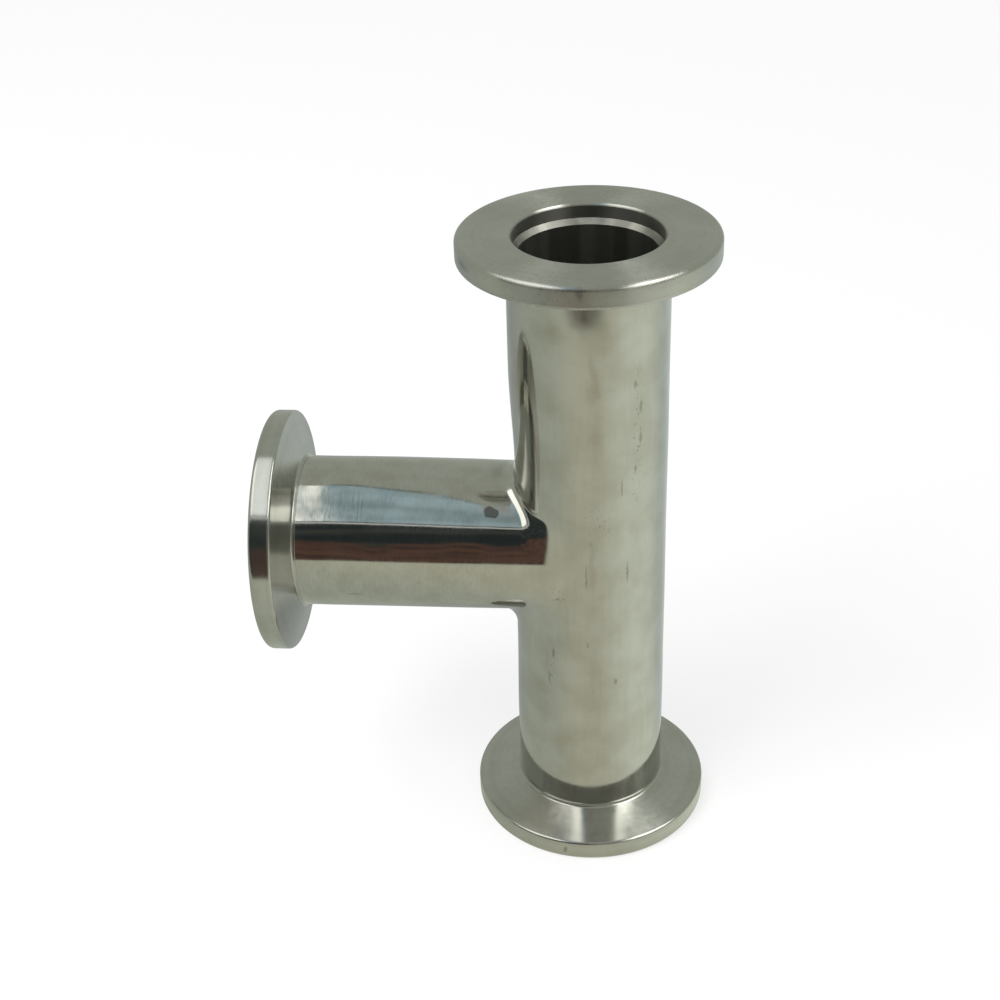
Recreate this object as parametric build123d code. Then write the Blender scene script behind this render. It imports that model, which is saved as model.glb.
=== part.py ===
from build123d import *
import math
import os

# A DN16 clamp-flange vacuum tee in polished stainless steel. The branch of the tee tube is drawn out of the
# run's wall, and a turned flange slips over each of the three ends. The tube's end butts on a shoulder inside
# its flange and is welded there, and the outside is ground flush and polished.
# The run stands on +Z with its lower seal face on the ground plane, and the branch points along -X.
# Lengths are in millimetres and angles in degrees.

# From the tee's centre, where the two axes cross, to each seal face.
lower_leg = 40.0
upper_leg = 40.0
branch_leg = 39.5

# The tee tube. A branch drawn out of the run's wall comes out a little slimmer than the run, on each side.
bore_diameter = 16.0
tube_wall = 1.4
branch_draw_in = 0.05
crotch_radius = 1.4

# The turned flange. Its back is a cone for the clamp, and a thin collar rises from it round the tube.
flange_diameter = 30.0
rim_width = 2.6
back_angle = 15.0
collar_wall = 0.13
collar_height = 0.4
collar_root_bevel = 0.3

# The recess that takes the centring ring. It stands outside the bore by the step that shows at its floor.
recess_depth = 1.7
recess_step = 0.6

# Broken edges of the flange.
face_edge_bevel = 0.3
back_edge_bevel = 0.2
mouth_bevel = 0.25

# The tube's slip fit in its flange, on each side.
socket_clearance = 0.02

run_radius = bore_diameter / 2 + tube_wall
branch_radius = run_radius - branch_draw_in
rim_radius = flange_diameter / 2
recess_radius = bore_diameter / 2 + recess_step
run_height = lower_leg + upper_leg

tee_centre = Pos(0, 0, lower_leg)


def blended_cross(run_r, branch_r, blend_radius):
    """A solid run and branch about the tee's centre, as long as the tube, with a fillet where they meet."""
    run_length = run_height - 2 * recess_depth
    branch_length = branch_leg - recess_depth
    upright = (Align.CENTER, Align.CENTER, Align.MIN)
    run = Pos(0, 0, recess_depth - lower_leg) * Cylinder(run_r, run_length, align=upright)
    branch = Rot(0, -90, 0) * Cylinder(branch_r, branch_length, align=upright)
    cross = run + branch
    seam = cross.edges().filter_by(lambda edge: edge.geom_type not in (GeomType.CIRCLE, GeomType.LINE))
    return fillet(seam, blend_radius)


def make_tee_tube():
    """The polished tube: its wall keeps its thickness round the crotch, and its three mouths are bevelled."""
    outside = blended_cross(run_radius, branch_radius, crotch_radius)
    inside = blended_cross(run_radius - tube_wall, branch_radius - tube_wall, crotch_radius + tube_wall)
    tube = outside - inside
    middle_of_wall = run_radius - tube_wall / 2
    mouths = tube.edges().filter_by(GeomType.CIRCLE).filter_by(lambda edge: edge.radius < middle_of_wall)
    return tee_centre * chamfer(mouths, recess_step)


def corner(section, x, y):
    """The corner of a flat section that lies nearest to a point."""
    return section.vertices().sort_by_distance((x, y, 0))[0]


def flange_section(tube_r):
    """Half of a flange's section for a tube of that radius: X is the radius, and Y runs from the seal face."""
    socket = tube_r + socket_clearance
    collar = socket + collar_wall
    cone_end = rim_width + (rim_radius - collar) * math.tan(math.radians(back_angle))
    collar_end = cone_end + collar_height
    outline = Polyline(
        (recess_radius, 0),
        (rim_radius, 0),
        (rim_radius, rim_width),
        (collar, cone_end),
        (collar, collar_end),
        (socket, collar_end),
        (socket, recess_depth),
        (recess_radius, recess_depth),
        close=True,
    )
    section = make_face(outline)
    section = chamfer(corner(section, recess_radius, 0), mouth_bevel)
    section = chamfer(corner(section, rim_radius, 0), face_edge_bevel)
    section = chamfer(corner(section, rim_radius, rim_width), back_edge_bevel)
    return chamfer(corner(section, collar, cone_end), collar_root_bevel)


def make_flange(tube_r):
    """A turned flange with its seal face down at the origin and its collar up."""
    return revolve(Plane.XZ * flange_section(tube_r), Axis.Z)


parts = {
    "tee_tube": make_tee_tube(),
    "lower_flange": make_flange(run_radius),
    "upper_flange": Pos(0, 0, run_height) * Rot(180, 0, 0) * make_flange(run_radius),
    "branch_flange": Pos(-branch_leg, 0, lower_leg) * Rot(0, 90, 0) * make_flange(branch_radius),
}

os.makedirs("parts", exist_ok=True)
for name, part in parts.items():
    export_step(part, f"parts/{name}.step")
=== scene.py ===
import math

import bmesh
import bpy
from mathutils import Matrix, Vector, noise


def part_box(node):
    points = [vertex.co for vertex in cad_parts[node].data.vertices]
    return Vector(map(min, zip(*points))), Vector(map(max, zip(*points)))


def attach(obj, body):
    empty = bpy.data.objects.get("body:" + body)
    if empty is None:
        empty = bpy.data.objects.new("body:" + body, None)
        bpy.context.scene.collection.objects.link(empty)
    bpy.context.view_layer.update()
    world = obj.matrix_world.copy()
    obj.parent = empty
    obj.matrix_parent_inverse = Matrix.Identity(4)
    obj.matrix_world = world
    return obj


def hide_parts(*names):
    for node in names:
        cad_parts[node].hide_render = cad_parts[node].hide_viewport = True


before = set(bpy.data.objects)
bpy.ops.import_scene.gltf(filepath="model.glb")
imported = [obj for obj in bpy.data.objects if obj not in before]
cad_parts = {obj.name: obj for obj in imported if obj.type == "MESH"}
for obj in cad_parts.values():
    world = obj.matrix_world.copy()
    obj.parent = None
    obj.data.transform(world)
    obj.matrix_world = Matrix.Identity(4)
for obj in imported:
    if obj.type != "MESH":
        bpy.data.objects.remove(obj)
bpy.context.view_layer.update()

MM = 0.001

# Sizes of the tee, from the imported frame.
TUBE_LOW, TUBE_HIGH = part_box("tee_tube")
RUN_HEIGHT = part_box("upper_flange")[1].z
BRANCH_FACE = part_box("branch_flange")[0].x
RIM_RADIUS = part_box("lower_flange")[1].x
RUN_RADIUS = TUBE_HIGH.x
CENTRE_HEIGHT = (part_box("branch_flange")[0].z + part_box("branch_flange")[1].z) / 2
COLLAR_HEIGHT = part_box("lower_flange")[1].z
RECESS_DEPTH = TUBE_LOW.z

# Sizes that the frame's boxes don't show.
BRANCH_RADIUS = RUN_RADIUS - 0.05 * MM
TUBE_WALL = 1.4 * MM
CROTCH_RADIUS = 1.4 * MM
MOUTH_STEP = 0.6 * MM
RIM_WIDTH = 2.6 * MM
BACK_ANGLE = math.radians(15)
SOCKET_CLEARANCE = 0.02 * MM
COLLAR_WALL = 0.13 * MM
RECESS_RADIUS = RUN_RADIUS - TUBE_WALL + MOUTH_STEP

# Rounded edges of the turned flanges. The mouth has a small bevel.
FACE_EDGE = 0.55 * MM
BACK_EDGE = 0.4 * MM
MOUTH_BEVEL = 0.25 * MM
ROOT_RADIUS = 0.35 * MM
COLLAR_EDGE = 0.06 * MM

# How much wider the hand-polished crotch opens at its front and back, where the two tubes lie nearly flush,
# and below the branch. A higher power keeps the widening closer to that place.
CROTCH_FLUSH = 20 * MM
FLUSH_POWER = 10
CROTCH_BELOW = 1.8 * MM
BELOW_POWER = 2

# What hand polishing took off beside the crotch, above and below the branch. Along the run it fades out
# evenly. Along the branch most of it is near the crotch, and the rest goes on further.
HOLLOW_ABOVE = 0.42 * MM
HOLLOW_BELOW = 0.2 * MM
HOLLOW_POWER = 5
HOLLOW_ON_RUN = 13 * MM
HOLLOW_NEAR = 4.5 * MM
HOLLOW_NEAR_SHARE = 0.7
HOLLOW_FAR = (6 * MM, 15 * MM)

# The waviness that polishing left, longer in the plane of the two tubes than across it. All of the polishing
# begins a little way off each collar.
WAVE_HEIGHT = 0.055 * MM
WAVE_LENGTH = 7 * MM
WAVE_SQUEEZE = 0.6
POLISH_BEGINS = (0.2 * MM, 4 * MM)

# How finely the pieces are drawn: the points of a ring, and the steps along the branch, the blend and the
# run. SIDE_STEPS is how many of a quarter of the points fall on the line down the run, opposite the branch.
AROUND = 288
QUARTER = AROUND // 4
SIDE_STEPS = round(QUARTER * CENTRE_HEIGHT / (CENTRE_HEIGHT + math.pi * RUN_RADIUS))
OUTSIDE_STEPS = (56, 20, 72)
BORE_STEPS = (18, 10, 24)
ROUND_POINTS = 7
WELD_WITHIN = 0.0004 * MM
SHORTEST_EDGE = 0.0001 * MM
SHARP_ANGLE = math.radians(28)


# Meshes

def mesh_from_rows(bm, rows, closed=True):
    """Quads between rows of points that all have the same count."""
    made = [[bm.verts.new(point) for point in row] for row in rows]
    count = len(rows[0])
    for near, far in zip(made, made[1:]):
        for i in range(count if closed else count - 1):
            j = (i + 1) % count
            bm.faces.new((near[i], near[j], far[j], far[i]))


def finish_piece(bm, name):
    """Welds, orients and smooths a mesh, and makes it a piece."""
    bmesh.ops.remove_doubles(bm, verts=bm.verts, dist=WELD_WITHIN)
    bmesh.ops.dissolve_degenerate(bm, edges=bm.edges, dist=SHORTEST_EDGE)
    bmesh.ops.recalc_face_normals(bm, faces=bm.faces)
    for face in bm.faces:
        face.smooth = True
    for edge in bm.edges:
        if len(edge.link_faces) == 2 and edge.calc_face_angle(0) > SHARP_ANGLE:
            edge.smooth = False
    mesh = bpy.data.meshes.new(name)
    bm.to_mesh(mesh)
    bm.free()
    piece = bpy.data.objects.new(name, mesh)
    bpy.context.scene.collection.objects.link(piece)
    return piece


def ease(value, start, end):
    """0 at start, 1 at end, smooth between."""
    t = min(max((value - start) / (end - start), 0.0), 1.0)
    return t * t * (3 - 2 * t)


def border_point(k, low, high):
    """The k-th point of the unrolled run's border: its angle from the branch's side and its height."""
    half, within = divmod(k, 2 * QUARTER)
    rising = min(within, 2 * QUARTER - within)
    end = high if half == 0 else low
    if rising <= SIDE_STEPS:
        angle = math.pi
        height = CENTRE_HEIGHT + (end - CENTRE_HEIGHT) * rising / SIDE_STEPS
    else:
        angle = math.pi * (QUARTER - rising) / (QUARTER - SIDE_STEPS)
        height = end
    front = within < QUARTER if half == 0 else within > QUARTER
    return (angle if front else -angle), height


def on_run(radius, angle, height):
    """A point on the run: the angle is taken from the branch's side and turns to the front."""
    return Vector((-radius * math.cos(angle), -radius * math.sin(angle), height))


def crotch_round(a):
    """The outside's crotch radius at an angle round the branch, taken from the front and rising."""
    flush = abs(math.cos(a)) ** FLUSH_POWER
    below = max(-math.sin(a), 0) ** BELOW_POWER
    return CROTCH_RADIUS + CROTCH_FLUSH * flush + CROTCH_BELOW * below


def tee_skin(run_r, branch_r, round_at, run_ends, branch_end, steps, shape=None):
    """Rows of points over a run and a branch with a rolling-ball fillet between them, from the branch's end
    to the run's two ends. A shape moves each point outward by its place, its zone, its distance from the
    fillet and its angle round the branch."""
    branch_steps, blend_steps, run_steps = steps
    rows = [[] for _ in range(branch_steps + blend_steps + run_steps + 1)]
    for k in range(AROUND):
        a = 2 * math.pi * k / AROUND
        blend_r = round_at(a)
        ball_run = run_r + blend_r
        ball_branch = branch_r + blend_r
        out_branch = Vector((0, -math.cos(a), math.sin(a)))
        y = ball_branch * out_branch.y
        ball = Vector((-math.sqrt(ball_run ** 2 - y ** 2), y, CENTRE_HEIGHT + ball_branch * out_branch.z))
        out_run = Vector((ball.x, ball.y, 0)).normalized()
        on_branch = ball - blend_r * out_branch
        reach = on_branch.x - branch_end
        column = []
        for i in range(branch_steps):
            t = i / branch_steps
            point = Vector((branch_end + reach * t, on_branch.y, on_branch.z))
            column.append((point, out_branch, "branch", reach * (1 - t)))
        for i in range(blend_steps):
            out = out_branch.slerp(out_run, i / blend_steps)
            column.append((ball - blend_r * out, out, "blend", 0.0))
        start_angle = math.atan2(-ball.y, -ball.x)
        start_height = ball.z
        end_angle, end_height = border_point(k, *run_ends)
        span = math.hypot((end_angle - start_angle) * run_r, end_height - start_height)
        for i in range(run_steps + 1):
            t = i / run_steps
            angle = start_angle + (end_angle - start_angle) * t
            point = on_run(run_r, angle, start_height + (end_height - start_height) * t)
            out = Vector((point.x, point.y, 0)).normalized()
            column.append((point, out, "run", span * t))
        for row, (point, out, zone, away) in zip(rows, column):
            row.append(point + out * shape(point, zone, away, a) if shape else point)
    return rows


def hand_polish(point, zone, away, a):
    """How far hand polishing has moved the outside: hollows beside the crotch and a slight waviness."""
    side = math.sin(a)
    hollow = (HOLLOW_ABOVE if side > 0 else HOLLOW_BELOW) * abs(side) ** HOLLOW_POWER
    if zone == "run":
        hollow *= 1 - ease(away, 0, HOLLOW_ON_RUN)
    elif zone == "branch":
        near = math.exp(-(away / HOLLOW_NEAR) ** 2)
        far = 1 - ease(away, *HOLLOW_FAR)
        hollow *= HOLLOW_NEAR_SHARE * near + (1 - HOLLOW_NEAR_SHARE) * far
    from_collar = min(
        point.z - COLLAR_HEIGHT,
        RUN_HEIGHT - COLLAR_HEIGHT - point.z,
        point.x - BRANCH_FACE - COLLAR_HEIGHT,
    )
    wave = noise.noise(Vector((point.x * WAVE_SQUEEZE, point.y, point.z * WAVE_SQUEEZE)) / WAVE_LENGTH)
    return ease(from_collar, *POLISH_BEGINS) * (WAVE_HEIGHT * wave - hollow)


def full_turn():
    """The angles of a ring's points."""
    return [2 * math.pi * k / AROUND for k in range(AROUND)]


def run_ring(radius, height):
    """A circle of the run with its points where the skin's border has them."""
    steps = QUARTER - SIDE_STEPS
    return [on_run(radius, math.pi * i / steps, height) for i in range(-steps, steps + 1)]


def branch_ring(radius, x):
    """A circle of the branch with its points where the skin has them."""
    return [Vector((x, -radius * math.cos(a), CENTRE_HEIGHT + radius * math.sin(a))) for a in full_turn()]


def make_tee_tube():
    """The polished tube: outside and bore skins, joined at each mouth by its face and the bright bevel."""
    bm = bmesh.new()
    low, high, end = TUBE_LOW.z, TUBE_HIGH.z, TUBE_LOW.x
    mesh_from_rows(bm, tee_skin(
        RUN_RADIUS, BRANCH_RADIUS, crotch_round, (low, high), end, OUTSIDE_STEPS, hand_polish))
    bore_run = RUN_RADIUS - TUBE_WALL
    bore_branch = BRANCH_RADIUS - TUBE_WALL
    bore_round = CROTCH_RADIUS + TUBE_WALL
    step = MOUTH_STEP
    mesh_from_rows(bm, tee_skin(
        bore_run, bore_branch, lambda a: bore_round, (low + step, high - step), end + step, BORE_STEPS))
    for mouth, inward in ((low, step), (high, -step)):
        mesh_from_rows(bm, [
            run_ring(RUN_RADIUS, mouth),
            run_ring(bore_run + step, mouth),
            run_ring(bore_run, mouth + inward),
        ], closed=False)
    mesh_from_rows(bm, [
        branch_ring(BRANCH_RADIUS, end),
        branch_ring(bore_branch + step, end),
        branch_ring(bore_branch, end + step),
    ])
    return finish_piece(bm, "polished_tee_tube")


def arc_points(corner, before, after, radius):
    """Points of the round that takes a section's corner off."""
    corner = Vector(corner)
    into = (Vector(before) - corner).normalized()
    on = (Vector(after) - corner).normalized()
    half = into.angle(on) / 2
    reach = radius / math.tan(half)
    centre = corner + (into + on).normalized() * (radius / math.sin(half))
    start = (corner + into * reach - centre).normalized()
    end = (corner + on * reach - centre).normalized()
    return [centre + radius * start.slerp(end, i / (ROUND_POINTS - 1)) for i in range(ROUND_POINTS)]


def flange_profile(tube_r):
    """The flange's section, rounded: X is the radius and Y runs from the seal face."""
    collar = tube_r + SOCKET_CLEARANCE + COLLAR_WALL
    cone_end = RIM_WIDTH + (RIM_RADIUS - collar) * math.tan(BACK_ANGLE)
    corners = [
        ((RECESS_RADIUS, MOUTH_BEVEL), 0),
        ((RECESS_RADIUS + MOUTH_BEVEL, 0), 0),
        ((RIM_RADIUS, 0), FACE_EDGE),
        ((RIM_RADIUS, RIM_WIDTH), BACK_EDGE),
        ((collar, cone_end), ROOT_RADIUS),
        ((collar, COLLAR_HEIGHT), COLLAR_EDGE),
        ((tube_r, COLLAR_HEIGHT), 0),
        ((tube_r, RECESS_DEPTH), 0),
        ((RECESS_RADIUS, RECESS_DEPTH), 0),
    ]
    profile = []
    for i, (corner, radius) in enumerate(corners):
        before = corners[i - 1][0]
        after = corners[(i + 1) % len(corners)][0]
        if radius:
            profile += arc_points(corner, before, after, radius)
        else:
            profile.append(Vector(corner))
    return profile


def with_support(profile, longest=0.7 * MM, beside=0.05 * MM):
    """More points on the long straight stretches, so that smooth shading stays flat on them."""
    full = []
    for i, point in enumerate(profile):
        after = profile[(i + 1) % len(profile)]
        full.append(point)
        span = (after - point).length
        if span > 4 * beside:
            stops = [beside / span, 1 - beside / span]
            inner = int(span / longest)
            stops += [(n + 1) / (inner + 1) for n in range(inner)]
            full += [point.lerp(after, t) for t in sorted(stops)]
    return full


def make_flange(name, tube_r, place):
    """A turned flange, made about its own Z with the seal face at its origin, then set in its place."""
    bm = bmesh.new()
    rows = [
        [Vector((point.x * math.cos(a), point.x * math.sin(a), point.y)) for a in full_turn()]
        for point in with_support(flange_profile(tube_r))
    ]
    rows.append(rows[0])
    mesh_from_rows(bm, rows)
    piece = finish_piece(bm, name)
    piece.matrix_world = place
    return piece


tube = make_tee_tube()

UPSIDE_DOWN = Matrix.Rotation(math.pi, 4, "X")
ON_THE_BRANCH = Matrix.Rotation(math.pi / 2, 4, "Y")
FLANGES = {
    "lower": (RUN_RADIUS, Matrix.Identity(4)),
    "upper": (RUN_RADIUS, Matrix.Translation((0, 0, RUN_HEIGHT)) @ UPSIDE_DOWN),
    "branch": (BRANCH_RADIUS, Matrix.Translation((BRANCH_FACE, 0, CENTRE_HEIGHT)) @ ON_THE_BRANCH),
}
flanges = {
    end: make_flange(f"turned_{end}_flange", tube_r, place)
    for end, (tube_r, place) in FLANGES.items()
}

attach(tube, "root")
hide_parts("tee_tube")
for end, piece in flanges.items():
    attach(piece, "root")
    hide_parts(f"{end}_flange")


# Nodes

def new_material(name):
    """A material and its node tree."""
    material = bpy.data.materials.new(name)
    material.use_nodes = True
    return material, material.node_tree


def add(tree, kind, inputs=None, **settings):
    """A node with its settings. An input takes a value, or another node's socket."""
    node = tree.nodes.new("ShaderNode" + kind)
    for name, value in settings.items():
        setattr(node, name, value)
    for name, value in (inputs or {}).items():
        if isinstance(value, bpy.types.NodeSocket):
            tree.links.new(value, node.inputs[name])
        else:
            node.inputs[name].default_value = value
    return node


def maths(tree, operation, first, second=0.0):
    """One step of arithmetic between values or sockets."""
    return add(tree, "Math", {0: first, 1: second}, operation=operation).outputs[0]


def vector_maths(tree, operation, first, second=(0, 0, 0)):
    """One step of arithmetic between vectors."""
    return add(tree, "VectorMath", {0: first, 1: second}, operation=operation).outputs[0]


def length_of(tree, vector):
    """A vector's length."""
    return add(tree, "VectorMath", {0: vector}, operation="LENGTH").outputs["Value"]


def axes_of(tree, vector):
    """A vector's X, Y and Z."""
    return add(tree, "SeparateXYZ", {0: vector}).outputs


def mix_colour(tree, share, first, second):
    """A colour between two, by a share."""
    return add(tree, "Mix", {0: share, 6: first, 7: second}, data_type="RGBA").outputs[2]


def mix_value(tree, share, first, second):
    """A value between two, by a share."""
    return add(tree, "Mix", {0: share, 2: first, 3: second}, data_type="FLOAT").outputs[0]


def lay_over(tree, colour, mask, strength, tone):
    """A colour with a tone laid over it through a mask."""
    return mix_colour(tree, maths(tree, "MULTIPLY", mask, strength), colour, tone)


def raised(tree, value, mask, amount):
    """A value with an amount added through a mask."""
    return maths(tree, "ADD", value, maths(tree, "MULTIPLY", mask, amount))


def ramp(tree, value, low, high, out_low=0.0, out_high=1.0):
    """A value's range stretched to another, smoothly and clamped."""
    inputs = {"Value": value, "From Min": low, "From Max": high, "To Min": out_low, "To Max": out_high}
    return add(tree, "MapRange", inputs, interpolation_type="SMOOTHSTEP").outputs[0]


def noise_at(tree, vector, scale, stretch=None, detail=2.0):
    """Soft noise about 0.5, with its grains 1 / scale metres apart. A stretch scales each axis first."""
    if stretch:
        vector = vector_maths(tree, "MULTIPLY", vector, stretch)
    inputs = {"Vector": vector, "Scale": scale, "Detail": detail}
    return add(tree, "TexNoise", inputs).outputs["Fac"]


def bumped(tree, height, depth, normal=None):
    """A normal raised by a height, with a depth in metres for a height of 1."""
    inputs = {"Strength": 1.0, "Distance": depth, "Height": height}
    if normal:
        inputs["Normal"] = normal
    return add(tree, "Bump", inputs).outputs[0]


def set_metal(tree, colour, rough, normal):
    """Gives the material's shader the look of bare metal."""
    shader = tree.nodes["Principled BSDF"]
    shader.inputs["Metallic"].default_value = 1
    tree.links.new(colour, shader.inputs["Base Color"])
    tree.links.new(rough, shader.inputs["Roughness"])
    tree.links.new(normal, shader.inputs["Normal"])
    return shader


# Effects that both steels use

def new_group(name, inputs, outputs):
    """A node group with named sockets, each given as its name and kind."""
    group = bpy.data.node_groups.new(name, "ShaderNodeTree")
    for title, kind in inputs.items():
        group.interface.new_socket(title, in_out="INPUT", socket_type="NodeSocket" + kind)
    for title, kind in outputs.items():
        group.interface.new_socket(title, in_out="OUTPUT", socket_type="NodeSocket" + kind)
    return group, group.nodes.new("NodeGroupInput").outputs, group.nodes.new("NodeGroupOutput").inputs


def place_group(tree, group, **inputs):
    """A group in a material, with its own values. Its sockets' names have capitals and spaces."""
    node = tree.nodes.new("ShaderNodeGroup")
    node.node_tree = group
    for name, value in inputs.items():
        socket = node.inputs[name.replace("_", " ").capitalize()]
        if isinstance(value, bpy.types.NodeSocket):
            tree.links.new(value, socket)
        else:
            socket.default_value = value
    return node.outputs


def make_mark_group():
    """A soft-edged spot, 1 in its core and 0 outside, at a place and with a half width along each axis."""
    group, given, result = new_group(
        "mark", {"Vector": "Vector", "Place": "Vector", "Size": "Vector", "Core": "Float"}, {"Mask": "Float"})
    away = vector_maths(group, "SUBTRACT", given["Vector"], given["Place"])
    away = length_of(group, vector_maths(group, "DIVIDE", away, given["Size"]))
    group.links.new(ramp(group, away, 1.0, given["Core"]), result["Mask"])
    return group


def make_ragged_group():
    """Coordinates shifted by noise, so that a mark drawn with them gets a ragged edge."""
    group, given, result = new_group(
        "ragged", {"Vector": "Vector", "Scale": "Float", "Amount": "Float"}, {"Vector": "Vector"})
    wander = add(group, "TexNoise", {"Vector": given["Vector"], "Scale": given["Scale"], "Detail": 3.0})
    wander = vector_maths(group, "SUBTRACT", wander.outputs["Color"], (0.5, 0.5, 0.5))
    shift = add(group, "VectorMath", {0: wander, "Scale": given["Amount"]}, operation="SCALE").outputs[0]
    group.links.new(vector_maths(group, "ADD", given["Vector"], shift), result["Vector"])
    return group


def make_finish_group():
    """How a finished metal surface varies: cloudy patches, and fine lines along the way it was worked."""
    group, given, result = new_group(
        "finish",
        {
            "Vector": "Vector",
            "Lines": "Vector",
            "Clouds": "Float",
            "Line scale": "Float",
            "Line share": "Float",
        },
        {"Tone": "Float", "Haze": "Float", "Height": "Float"},
    )
    clouds = noise_at(group, given["Vector"], given["Clouds"], detail=4.0)
    lines = noise_at(group, given["Vector"], given["Line scale"], given["Lines"], detail=3.0)
    group.links.new(mix_value(group, given["Line share"], clouds, lines), result["Tone"])
    group.links.new(ramp(group, maths(group, "MULTIPLY", clouds, lines), 0.16, 0.36), result["Haze"])
    group.links.new(lines, result["Height"])
    return group


MARK = make_mark_group()
RAGGED = make_ragged_group()
FINISH = make_finish_group()

# Values of the ragged group, from the edges of stains and patches to those of specks.
RAGGED_BROAD = {"scale": 400.0, "amount": 2.5 * MM}
RAGGED_SPOT = {"scale": 900.0, "amount": 0.4 * MM}
RAGGED_RIM = {"scale": 1800.0, "amount": 0.5 * MM}
RAGGED_FINE = {"scale": 2500.0, "amount": 0.45 * MM}

# Values of the finish group. Its lines run up the run and round the branch, and are even on the flanges.
RUN_FINISH = {"lines": (1, 1, 0.09), "clouds": 230.0, "line_scale": 1900.0, "line_share": 0.18}
BRANCH_FINISH = {"lines": (1, 0.25, 0.25), "clouds": 420.0, "line_scale": 4200.0, "line_share": 0.35}
TURNED_FINISH = {"lines": (1, 1, 1), "clouds": 260.0, "line_scale": 1500.0, "line_share": 0.3}

STEEL = (0.46, 0.458, 0.422, 1)
STEEL_BRIGHT = (0.53, 0.532, 0.505, 1)
STEEL_DULL = (0.395, 0.387, 0.342, 1)
STEEL_STAIN = (0.31, 0.275, 0.20, 1)
STEEL_DARK = (0.13, 0.125, 0.11, 1)
TURNED_DULL = (0.43, 0.43, 0.395, 1)
TURNED_BRIGHT = (0.49, 0.495, 0.465, 1)


# The polished tube

# How far a mark reaches into the wall and out of it, in mm.
MARK_DEPTH = 3


def on_run_mark(turn, height, wide, tall, core=0.0):
    """A mark on the run: degrees to the right of the front, height, half width and half height in mm, core."""
    angle = math.radians(turn)
    place = Vector((math.sin(angle), -math.cos(angle), 0)) * RUN_RADIUS + Vector((0, 0, height * MM))
    return place, Vector((wide, MARK_DEPTH, tall)) * MM, core


def on_branch_mark(along, rise, wide, tall, core=0.0):
    """A mark on the branch: mm from the run's axis, degrees up from the front, half sizes in mm, and core."""
    angle = math.radians(rise)
    place = Vector((0, -math.cos(angle), math.sin(angle))) * BRANCH_RADIUS
    return place + Vector((-along * MM, 0, CENTRE_HEIGHT)), Vector((wide, MARK_DEPTH, tall)) * MM, core


STAINS = [
    on_run_mark(8, 59, 1.3, 6),
    on_run_mark(5, 66, 1.0, 5),
    on_run_mark(16, 72, 1.8, 3.5),
    on_run_mark(-24, 72, 1.6, 2.2),
    on_run_mark(-40, 22, 2.0, 2.2),
    on_run_mark(4, 41, 0.9, 5),
    on_run_mark(-13, 15, 3, 3),
]
BRIGHT_PATCHES = [
    on_run_mark(-8, 73, 0.8, 2.5),
    on_run_mark(30, 45, 1.4, 6),
    on_run_mark(35, 30, 1.8, 7),
    on_run_mark(-20, 19, 2.5, 5),
]
SPECKS = [
    on_run_mark(41, 62, 0.25, 1.1, 0.3),
    on_run_mark(36, 65, 0.2, 0.7, 0.3),
    on_run_mark(41, 58, 0.25, 1.2, 0.3),
    on_run_mark(37, 54, 0.2, 0.9, 0.3),
    on_run_mark(26, 52, 0.15, 1.6, 0.3),
    on_run_mark(0, 40, 0.13, 2.5, 0.3),
    on_run_mark(31, 40, 0.16, 2.0, 0.3),
    on_run_mark(-26, 28, 0.2, 1.1, 0.3),
    on_run_mark(-30, 24, 0.2, 1.3, 0.3),
    on_run_mark(1, 30, 0.14, 0.6, 0.3),
    on_run_mark(22, 24, 0.3, 0.7, 0.3),
    on_branch_mark(28.2, -23, 1.4, 0.14, 0.3),
]
# A painted reflection: the upper flange's underside, mirrored on the branch, painted there as a dark spot.
FLANGE_REFLECTION_SPOT = [on_branch_mark(11.6, 48, 0.85, 0.55, 0.7), on_branch_mark(11.0, 47, 0.5, 0.45, 0.7)]
SOFT_CROTCH = [on_run_mark(-68, 57, 5, 11), on_run_mark(-50, 52, 3, 6), on_branch_mark(12, -64, 5, 4)]
SCRATCHED = [on_branch_mark(28, 50, 4.5, 3.5)]
PITTED = [
    on_run_mark(38, 58, 0.9, 12, 0.2),
    on_run_mark(-28, 26, 0.8, 5, 0.2),
    on_run_mark(-20, 37, 1.6, 2, 0.2),
    on_run_mark(8, 47, 2.2, 5, 0.0),
]

# How strongly each kind of mark, and the painted reflection spot, shows in the tube's colour.
PATCH_STRENGTH = 0.5
STAIN_STRENGTH = 0.3
SCRATCH_STRENGTH = 0.45
SPECK_STRENGTH = 0.45
REFLECTION_SPOT_STRENGTH = 0.9

# The tube's roughness, what haze, stains and the softer crotch add to it, and the bore's.
POLISHED = 0.07
HAZE_ADDS = 0.035
STAIN_ADDS = 0.05
CROTCH_ADDS = 0.1
BORE_ROUGHNESS = 0.42

# Relief of the polished surface, and how much deeper a speck is than the lines.
LINE_DEPTH = 0.0005 * MM
SPECK_DEPTH = 3.0
RIPPLE_DEPTH = 0.006 * MM

# Where the run's finish gives way to the branch's, and where the wall counts as the bore's.
BRANCH_BEGINS = (-9.0 * MM, -11.5 * MM)
BORE_SIDE = (9.0 * MM, 8.8 * MM)


def marks(tree, where, spots):
    """One mask for several marks."""
    mask = None
    for place, size, core in spots:
        spot = place_group(tree, MARK, vector=where, place=place, size=size, core=core)["Mask"]
        mask = spot if mask is None else maths(tree, "MAXIMUM", mask, spot)
    return mask


def tube_zones(tree, where):
    """Two masks of the tube: the branch, and the bore of both run and branch."""
    on_branch = ramp(tree, axes_of(tree, where)["X"], *BRANCH_BEGINS)
    off_run = length_of(tree, vector_maths(tree, "MULTIPLY", where, (1, 1, 0)))
    off_branch = vector_maths(tree, "SUBTRACT", where, (0, 0, CENTRE_HEIGHT))
    off_branch = length_of(tree, vector_maths(tree, "MULTIPLY", off_branch, (0, 1, 1)))
    in_run = ramp(tree, off_run, *BORE_SIDE)
    in_branch = maths(tree, "MULTIPLY", ramp(tree, off_branch, *BORE_SIDE), on_branch)
    return on_branch, maths(tree, "MAXIMUM", in_run, in_branch)


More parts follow.
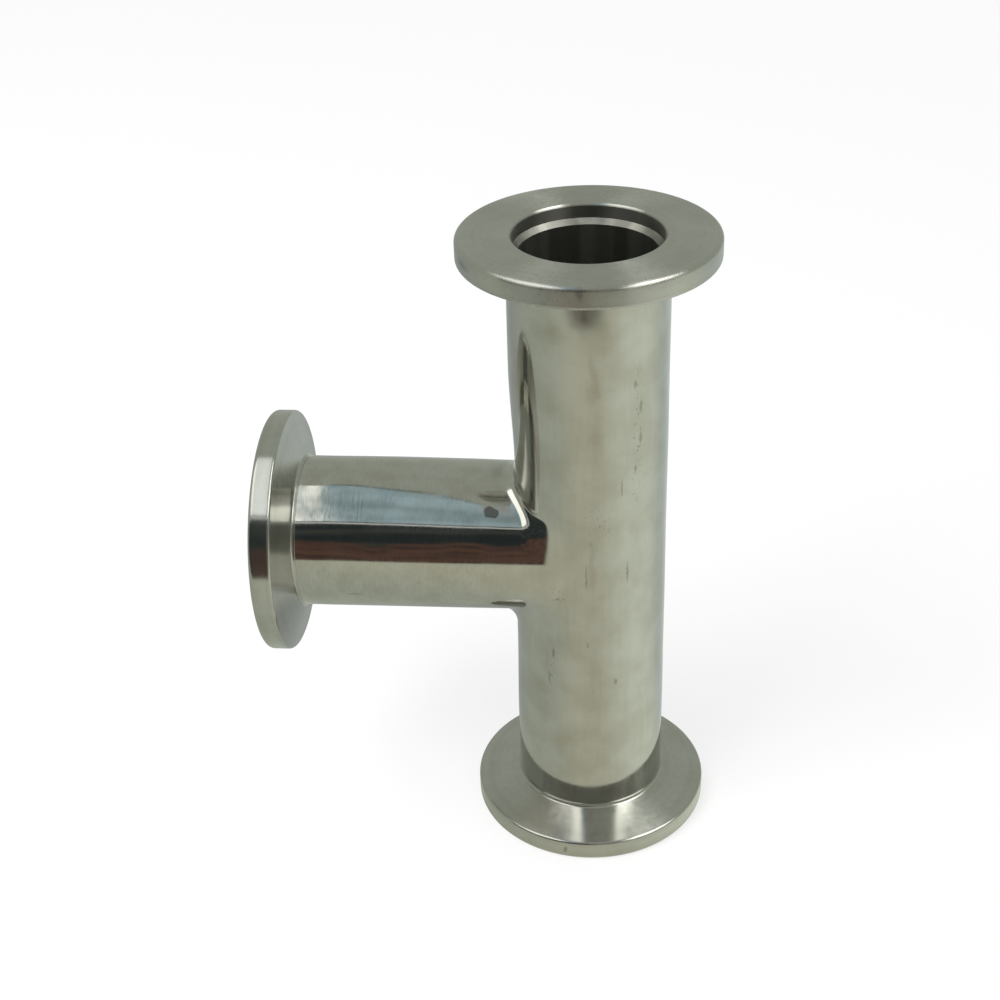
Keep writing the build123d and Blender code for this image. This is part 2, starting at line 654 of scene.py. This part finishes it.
def pits(tree, where):
    """Small dark pits: only the deepest grains of a noise, in the pitted places."""
    grains = noise_at(tree, where, 3600.0, (1, 1, 0.55), detail=1.0)
    return maths(tree, "MULTIPLY", marks(tree, where, PITTED), ramp(tree, grains, 0.40, 0.32))


def scratches(tree, where):
    """Fine dark scratches round the branch, in the scratched place."""
    grains = noise_at(tree, where, 2600.0, (1, 0.03, 0.03), detail=1.0)
    return maths(tree, "MULTIPLY", marks(tree, where, SCRATCHED), ramp(tree, grains, 0.55, 0.7))


def bore_shade_streaks(tree, where):
    """How much painted shade darkens the bore: some everywhere, and more in broad streaks up it."""
    return ramp(tree, noise_at(tree, where, 330.0, (1, 1, 0.02)), 0.35, 0.6, 0.3, 0.75)


def polished_steel():
    """The hand-polished tube: a soft mirror with clouds, stains, pits and scratches, a painted reflection on
    the branch, and a rougher bore painted darker as shade.
    """
    material, tree = new_material("polished_steel")
    where = add(tree, "TexCoord").outputs["Object"]
    on_branch, inside = tube_zones(tree, where)
    run_finish = place_group(tree, FINISH, vector=where, **RUN_FINISH)
    branch_finish = place_group(tree, FINISH, vector=where, **BRANCH_FINISH)
    tone = mix_value(tree, on_branch, run_finish["Tone"], branch_finish["Tone"])
    haze = mix_value(tree, on_branch, run_finish["Haze"], branch_finish["Haze"])
    lines = mix_value(tree, on_branch, run_finish["Height"], branch_finish["Height"])

    broad = place_group(tree, RAGGED, vector=where, **RAGGED_BROAD)["Vector"]
    fine = place_group(tree, RAGGED, vector=where, **RAGGED_FINE)["Vector"]
    reflection_spot_place = place_group(tree, RAGGED, vector=where, **RAGGED_SPOT)["Vector"]
    stains = marks(tree, broad, STAINS)
    specks = maths(tree, "MAXIMUM", marks(tree, fine, SPECKS), pits(tree, where))

    colour = mix_colour(tree, ramp(tree, tone, 0.32, 0.68), STEEL_DULL, STEEL_BRIGHT)
    colour = mix_colour(tree, 0.45, colour, STEEL)
    colour = lay_over(tree, colour, marks(tree, broad, BRIGHT_PATCHES), PATCH_STRENGTH, STEEL_BRIGHT)
    colour = lay_over(tree, colour, stains, STAIN_STRENGTH, STEEL_STAIN)
    colour = lay_over(tree, colour, scratches(tree, where), SCRATCH_STRENGTH, STEEL_DARK)
    colour = lay_over(tree, colour, specks, SPECK_STRENGTH, STEEL_DARK)
    # Painted reflection of the upper flange's underside: a dark spot on the branch.
    colour = lay_over(tree, colour, marks(tree, reflection_spot_place, FLANGE_REFLECTION_SPOT), REFLECTION_SPOT_STRENGTH, STEEL_DARK)
    # Painted shade in the bore: its colour is darkened, more so in broad streaks up it.
    colour = lay_over(tree, colour, inside, bore_shade_streaks(tree, where), STEEL_DARK)

    rough = raised(tree, POLISHED, haze, HAZE_ADDS)
    rough = raised(tree, rough, stains, STAIN_ADDS)
    rough = raised(tree, rough, marks(tree, where, SOFT_CROTCH), CROTCH_ADDS)
    rough = mix_value(tree, inside, rough, BORE_ROUGHNESS)

    height = maths(tree, "SUBTRACT", lines, maths(tree, "MULTIPLY", specks, SPECK_DEPTH))
    normal = bumped(tree, height, LINE_DEPTH)
    normal = bumped(tree, noise_at(tree, where, 420.0, detail=1.0), RIPPLE_DEPTH, normal)
    set_metal(tree, colour, rough, normal)
    return material


# The turned flanges

def rim_mark(place, size, core=0.0):
    """A mark on a flange, in mm from its seal face and about its own Z."""
    return Vector(place) * MM, Vector(size) * MM, core


RIM_MARKS = {
    "lower": [rim_mark((-2.6, -14.8, 1.4), (0.35, 2, 0.7), 0.3)],
    "upper": [rim_mark((-0.3, 15, 0.9), (0.6, 2, 1.2)), rim_mark((-13.5, 6.5, 1.2), (2.5, 2.5, 0.8))],
    "branch": [rim_mark((-1.0, 14.9, 1.3), (1, 1, 0.3), 0.3)],
}
RIM_MARK_STRENGTH = 0.5

# The upper flange is turned a little coarser than the other two. Haze adds to it. The recess is rougher,
# and its colour is painted darker as shade.
TURNED = {"lower": 0.19, "upper": 0.27, "branch": 0.19}
TURNED_HAZE_ADDS = 0.03
RECESS_ROUGHNESS = 0.34
RECESS_PAINTED_SHADE = 0.6
RECESS_SIDE = (8.75 * MM, 8.65 * MM)

# The turned rings: how they tint the steel and how deep they are, and how far they stretch a highlight.
RING_TINT = 0.3
RING_DEPTH = 0.0003 * MM
RING_STRETCH = 0.95
ACROSS_THE_RINGS = 0.25


def turned_steel(end):
    """Lathe-turned steel: fine rings round the axis, which stretch every highlight across them."""
    material, tree = new_material(f"turned_steel_{end}")
    where = add(tree, "TexCoord").outputs["Object"]
    radius = length_of(tree, vector_maths(tree, "MULTIPLY", where, (1, 1, 0)))
    in_recess = ramp(tree, radius, *RECESS_SIDE)
    ring_place = add(tree, "CombineXYZ", {0: radius, 1: axes_of(tree, where)["Z"], 2: 0.0}).outputs[0]
    finish = place_group(tree, FINISH, vector=where, **TURNED_FINISH)
    ragged = place_group(tree, RAGGED, vector=where, **RAGGED_RIM)["Vector"]

    tone = mix_value(tree, RING_TINT, finish["Tone"], noise_at(tree, ring_place, 1300.0))
    colour = mix_colour(tree, ramp(tree, tone, 0.35, 0.65), TURNED_DULL, TURNED_BRIGHT)
    colour = lay_over(tree, colour, marks(tree, ragged, RIM_MARKS[end]), RIM_MARK_STRENGTH, STEEL_DARK)
    # Painted shade: the recess wall's colour is darkened.
    colour = lay_over(tree, colour, in_recess, RECESS_PAINTED_SHADE, STEEL_DARK)

    rough = raised(tree, TURNED[end], finish["Haze"], TURNED_HAZE_ADDS)
    rough = mix_value(tree, in_recess, rough, RECESS_ROUGHNESS)

    normal = bumped(tree, noise_at(tree, ring_place, 3000.0, detail=0.0), RING_DEPTH)
    shader = set_metal(tree, colour, rough, normal)
    shader.inputs["Anisotropic"].default_value = RING_STRETCH
    shader.inputs["Anisotropic Rotation"].default_value = ACROSS_THE_RINGS
    around = add(tree, "Tangent", direction_type="RADIAL", axis="Z")
    tree.links.new(around.outputs[0], shader.inputs["Tangent"])
    return material


tube.data.materials.append(polished_steel())
for end, piece in flanges.items():
    piece.data.materials.append(turned_steel(end))


# Camera, at the photograph's viewing angle

CAMERA_PLACE = Vector((7.28, -169.88, 149.57)) * MM
CAMERA_YAW = -0.107
CAMERA_PITCH = 0.5498
CAMERA_ROLL = -0.0376
CAMERA_LENS = 58.72
SENSOR = 36
NEAREST = 5 * MM


def make_camera():
    """The camera stands in front and above, looks down at the tee and is turned a little on its own axis."""
    forward = Vector((
        math.sin(CAMERA_YAW) * math.cos(CAMERA_PITCH),
        math.cos(CAMERA_YAW) * math.cos(CAMERA_PITCH),
        -math.sin(CAMERA_PITCH),
    ))
    level = Vector((math.cos(CAMERA_YAW), -math.sin(CAMERA_YAW), 0))
    upright = level.cross(forward)
    right = math.cos(CAMERA_ROLL) * level + math.sin(CAMERA_ROLL) * upright
    up = math.cos(CAMERA_ROLL) * upright - math.sin(CAMERA_ROLL) * level
    data = bpy.data.cameras.new("camera")
    data.lens = CAMERA_LENS
    data.sensor_width = SENSOR
    data.clip_start = NEAREST
    camera = bpy.data.objects.new("camera", data)
    turn = Matrix((right, up, -forward)).transposed()
    camera.matrix_world = Matrix.Translation(CAMERA_PLACE) @ turn.to_4x4()
    bpy.context.scene.collection.objects.link(camera)
    bpy.context.scene.camera = camera


make_camera()


# Studio: a pale floor, plain light, and cards that only reflections show, for the polished steel to mirror.
# Lengths are in metres from the tee.

FLOOR_HALF = 4.0
FLOOR_PALE = (0.8, 0.8, 0.78, 1)
FLOOR_GLOW = (0.70, 0.70, 0.70, 1)
FLOOR_SHADED = (0.34, 0.34, 0.34, 1)
BLACK = (0, 0, 0, 1)

# Tones of the floor in the steel: by direction from the tee, a painted shade at the foot of the front card,
# and where steel shows what other steel mirrors. The glow is the share of them that a shadow leaves.
IN_FRONT = (0.68, 0.68, 0.55, 1)
TO_THE_RIGHT = (0.92, 0.97, 0.83, 1)
TO_THE_LEFT = (0.53, 0.57, 0.48, 1)
BACK_LEFT = (0.42, 0.45, 0.43, 1)
BACK_RIGHT = (0.66, 0.72, 0.68, 1)
FOOT_SHADE_TONE = (0.20, 0.20, 0.17, 1)
SEEN_TWICE = (0.95, 0.95, 0.85, 1)
MIRRORED_GLOW = 0.8

WORLD_LIGHT = 0.6

# How far the cards stand off at the sides and back, in front and overhead, and where the front card stands.
SIDES = 0.6
FRONT = -1.0
OVERHEAD = 0.54
FRONT_CARD = -0.175
# How far the painted shade at the front card's foot reaches out over the floor.
FOOT_SHADE_WIDTH = 0.025

# The front card's height, and those of the bright edge and the dark rail above it.
FRONT_CARD_TOP = 0.194
BRIGHT_EDGE_TOP = 0.204
DARK_RAIL_TOP = 0.213

OLIVE = (0.47, 0.50, 0.435)
COOL = (0.55, 0.71, 0.79)
COOL_SHADE = (0.33, 0.45, 0.50)
NEUTRAL = (0.50, 0.49, 0.45)
PANEL_FRAME = (0.16, 0.18, 0.16)
LAMP = (1.0, 1.0, 0.96)
WHITE = (1.0, 1.0, 1.0)
NEAR_BLACK = (0.032, 0.042, 0.043)
LESS_BLACK = (0.07, 0.075, 0.07)
PLAIN_GREY = (0.24, 0.245, 0.21)
RED_BROWN = (0.15, 0.085, 0.063)
DARK_RED = (0.085, 0.055, 0.048)

LEFT_LAMP_GLOW = 2.1
RIGHT_LAMP_GLOW = 4.0
PANEL_GLOW_TWICE = 3.5

# The overhead cards hang a little below each other, so that the lower ones cover the upper.
FRAME_DROP = 0.008
NEUTRAL_DROP = 0.01
PANEL_DROP = 0.012
LAMP_DROP = 0.02

# The side that the cool panel shares with the left lamp, the panel's back edge and its front corner.
LAMP_SIDE = [(-0.185, -0.56), (-0.164, -0.36), (-0.146, -0.18), (-0.140, -0.02), (-0.143, 0.11)]
PANEL_BACK = [(-0.12, 0.125), (-0.098, 0.08), (-0.076, 0.045), (-0.064, -0.03), (-0.050, -0.09)]
PANEL_CORNER = (-0.05, -0.56)
FRAME_WIDTH = 0.018


def card(name, corners, material):
    """A flat card through its corners."""
    mesh = bpy.data.meshes.new(name)
    mesh.from_pydata(corners, [], [tuple(range(len(corners)))])
    mesh.materials.append(material)
    made = bpy.data.objects.new(name, mesh)
    bpy.context.scene.collection.objects.link(made)
    return made


def reflected_card(name, corners, paint, strength=1.0):
    """A glowing card that only reflections show. Its paint is a colour, or a function that makes it."""
    material, tree = new_material(name)
    glow = add(tree, "Emission", {"Strength": strength})
    if callable(paint):
        paint(tree, glow)
    else:
        glow.inputs["Color"].default_value = (*paint, 1)
    tree.links.new(glow.outputs[0], tree.nodes["Material Output"].inputs["Surface"])
    made = card(name, corners, material)
    made.visible_camera = False
    made.visible_diffuse = False
    made.visible_shadow = False


def upright_card(name, low, high, paint):
    """A card across the front, between two heights."""
    corners = [(-SIDES, low), (SIDES, low), (SIDES, high), (-SIDES, high)]
    reflected_card(name, [(x, FRONT_CARD, z) for x, z in corners], paint)


def overhead_card(name, corners, paint, drop=0.0, strength=1.0):
    """A level card overhead, dropped a little below the highest."""
    reflected_card(name, [(x, y, OVERHEAD - drop) for x, y in corners], paint, strength)


def seen_rays(tree):
    """1 for camera, glossy and transmission rays, and the light path's own outputs."""
    path = add(tree, "LightPath").outputs
    seen = maths(tree, "MAXIMUM", path["Is Camera Ray"], path["Is Glossy Ray"])
    return maths(tree, "MAXIMUM", seen, path["Is Transmission Ray"]), path


def mirrored_twice(tree):
    """1 where steel shows what other steel mirrors."""
    return maths(tree, "GREATER_THAN", add(tree, "LightPath").outputs["Glossy Depth"], 1.5)


def mirrored_floor(tree):
    """The floor's tone in the steel, by its direction from the tee, with a painted shade at the front card's
    foot.
    """
    place = add(tree, "NewGeometry").outputs["Position"]
    direction = vector_maths(tree, "NORMALIZE", vector_maths(tree, "MULTIPLY", place, (1, 1, 0)))
    axes = axes_of(tree, direction)
    left = ramp(tree, axes["X"], -0.15, -1.0)
    right = ramp(tree, axes["X"], 0.1, 1.1)
    behind = ramp(tree, axes["Y"], -0.1, 0.75)
    tone = mix_colour(tree, left, IN_FRONT, TO_THE_LEFT)
    tone = mix_colour(tree, right, tone, TO_THE_RIGHT)
    back = mix_colour(tree, ramp(tree, axes["X"], -0.5, 0.5), BACK_LEFT, BACK_RIGHT)
    tone = mix_colour(tree, behind, tone, back)
    # Painted shade on the floor along the front card's foot.
    off_foot = ramp(tree, axes_of(tree, place)["Y"], FRONT_CARD, FRONT_CARD + FOOT_SHADE_WIDTH)
    tone = mix_colour(tree, off_foot, FOOT_SHADE_TONE, tone)
    return mix_colour(tree, mirrored_twice(tree), tone, SEEN_TWICE)


def make_floor():
    """A pale floor that keeps the tee's shadow, and shows the steel tones of its own."""
    material, tree = new_material("pale_floor")
    plain = tree.nodes["Principled BSDF"]
    plain.inputs["Base Color"].default_value = FLOOR_PALE
    plain.inputs["Roughness"].default_value = 1
    plain.inputs["Specular IOR Level"].default_value = 0
    seen, path = seen_rays(tree)
    in_steel = path["Is Glossy Ray"]
    tone = mirrored_floor(tree)
    glow = add(tree, "Emission", {
        "Color": mix_colour(tree, in_steel, FLOOR_GLOW, tone),
        "Strength": mix_value(tree, in_steel, 1.0, MIRRORED_GLOW),
    })
    shaded = mix_colour(tree, 1 - MIRRORED_GLOW, BLACK, tone)
    shade = add(tree, "BsdfDiffuse", {"Color": mix_colour(tree, in_steel, FLOOR_SHADED, shaded)})
    lit = add(tree, "AddShader", {0: shade.outputs[0], 1: glow.outputs[0]})
    mix = add(tree, "MixShader", {0: seen, 1: plain.outputs[0], 2: lit.outputs[0]})
    tree.links.new(mix.outputs[0], tree.nodes["Material Output"].inputs["Surface"])
    h = FLOOR_HALF
    card("floor", [(-h, -h, 0), (h, -h, 0), (h, h, 0), (-h, h, 0)], material)


def make_world():
    """Plain light all round, and white where it is seen."""
    world = bpy.data.worlds.new("studio")
    world.use_nodes = True
    bpy.context.scene.world = world
    tree = world.node_tree
    light = tree.nodes["Background"]
    light.inputs["Color"].default_value = (*WHITE, 1)
    light.inputs["Strength"].default_value = WORLD_LIGHT
    white = add(tree, "Background", {"Color": (*WHITE, 1), "Strength": 1.0})
    seen = seen_rays(tree)[0]
    mix = add(tree, "MixShader", {0: seen, 1: light.outputs[0], 2: white.outputs[0]})
    tree.links.new(mix.outputs[0], tree.nodes["World Output"].inputs["Surface"])


def paint_front(tree, glow):
    """The front card: black above, and red-brown with a wavy top and dark streaks below. From the run to the
    right, and where it is mirrored twice, it is plain grey."""
    place = add(tree, "NewGeometry").outputs["Position"]
    axes = axes_of(tree, place)
    wavy_top = raised(tree, axes["Z"], noise_at(tree, place, 45.0, (1, 0, 0)), 0.14)
    red = ramp(tree, wavy_top, 0.162, 0.154)
    red = maths(tree, "MULTIPLY", red, ramp(tree, axes["X"], -0.10, -0.085))
    along_streaks = maths(tree, "MULTIPLY", axes["X"], 0.4)
    streak_place = add(tree, "CombineXYZ", {0: along_streaks, 2: wavy_top}).outputs[0]
    streaks = ramp(tree, noise_at(tree, streak_place, 62.0, detail=1.0), 0.42, 0.56)
    red_tone = mix_colour(tree, streaks, (*DARK_RED, 1), (*RED_BROWN, 1))
    dark_clouds = ramp(tree, noise_at(tree, place, 22.0), 0.45, 0.7)
    black = mix_colour(tree, dark_clouds, (*NEAR_BLACK, 1), (*LESS_BLACK, 1))
    grey = maths(tree, "MAXIMUM", ramp(tree, axes["X"], -0.005, 0.02), mirrored_twice(tree))
    tone = mix_colour(tree, grey, mix_colour(tree, red, black, red_tone), (*PLAIN_GREY, 1))
    tree.links.new(tone, glow.inputs["Color"])


def paint_panel(tree, glow):
    """The cool panel, cloudy. Where it is mirrored twice, its left part shines like the lamp beside it."""
    place = add(tree, "NewGeometry").outputs["Position"]
    clouds = ramp(tree, noise_at(tree, place, 28.0, (2.2, 0.16, 1)), 0.36, 0.62)
    tone = mix_colour(tree, clouds, (*COOL_SHADE, 1), (*COOL, 1))
    left_part = ramp(tree, axes_of(tree, place)["X"], -0.07, -0.08)
    shining = maths(tree, "MULTIPLY", mirrored_twice(tree), left_part)
    tree.links.new(mix_colour(tree, shining, tone, (*LAMP, 1)), glow.inputs["Color"])
    tree.links.new(mix_value(tree, shining, 1.0, PANEL_GLOW_TWICE), glow.inputs["Strength"])


def make_cards():
    """Olive cards overhead and round the tee, a cool and a neutral panel, two lamps, and the front card."""
    s, top = SIDES, OVERHEAD
    overhead_card("ceiling", [(-s, FRONT), (s, FRONT), (s, s), (-s, s)], OLIVE)
    reflected_card("back_wall", [(-s, s, 0), (s, s, 0), (s, s, top), (-s, s, top)], OLIVE)
    for x, name in ((-s, "left_wall"), (s, "right_wall")):
        reflected_card(name, [(x, FRONT, 0), (x, s, 0), (x, s, top), (x, FRONT, top)], OLIVE)

    frame_back = [(x, y + FRAME_WIDTH) for x, y in PANEL_BACK]
    overhead_card("panel_frame", [*LAMP_SIDE, *frame_back, PANEL_CORNER], PANEL_FRAME, FRAME_DROP)
    overhead_card("cool_panel", [*LAMP_SIDE, *PANEL_BACK, PANEL_CORNER], paint_panel, PANEL_DROP)
    neutral = [(-0.05, FRONT), (0.33, FRONT), (0.26, -0.2), (-0.05, -0.09)]
    overhead_card("neutral_panel", neutral, NEUTRAL, NEUTRAL_DROP)

    left_lamp = [(-s, -0.56), *LAMP_SIDE, (-s, 0.11)]
    overhead_card("left_lamp", left_lamp, LAMP, LAMP_DROP, LEFT_LAMP_GLOW)
    right_lamp = [(0.33, -0.55), (s, -0.55), (s, 0.1), (0.14, 0.1), (0.26, -0.2)]
    overhead_card("right_lamp", right_lamp, LAMP, LAMP_DROP, RIGHT_LAMP_GLOW)

    upright_card("front_wall", 0, FRONT_CARD_TOP, paint_front)
    upright_card("bright_edge", FRONT_CARD_TOP, BRIGHT_EDGE_TOP, WHITE)
    upright_card("dark_rail", BRIGHT_EDGE_TOP, DARK_RAIL_TOP, NEAR_BLACK)


def make_lamp(name, place, aim, size, watts):
    """A soft lamp aimed at a point. The steel shows the cards and not the lamp."""
    data = bpy.data.lights.new(name, "AREA")
    data.shape = "RECTANGLE"
    data.size, data.size_y = size
    data.energy = watts
    lamp = bpy.data.objects.new(name, data)
    lamp.location = place
    lamp.rotation_euler = (Vector(aim) - Vector(place)).to_track_quat("-Z", "Y").to_euler()
    lamp.visible_glossy = False
    bpy.context.scene.collection.objects.link(lamp)


make_floor()
make_world()
make_cards()
make_lamp("key_lamp", (-0.35, -0.3, 0.6), (0, 0, 0.04), (0.4, 0.4), 3.0)

# Enough for steel that mirrors steel in the crotch and the recesses.
bpy.context.scene.cycles.glossy_bounces = 8

bpy.context.scene.view_settings.view_transform = "Standard"
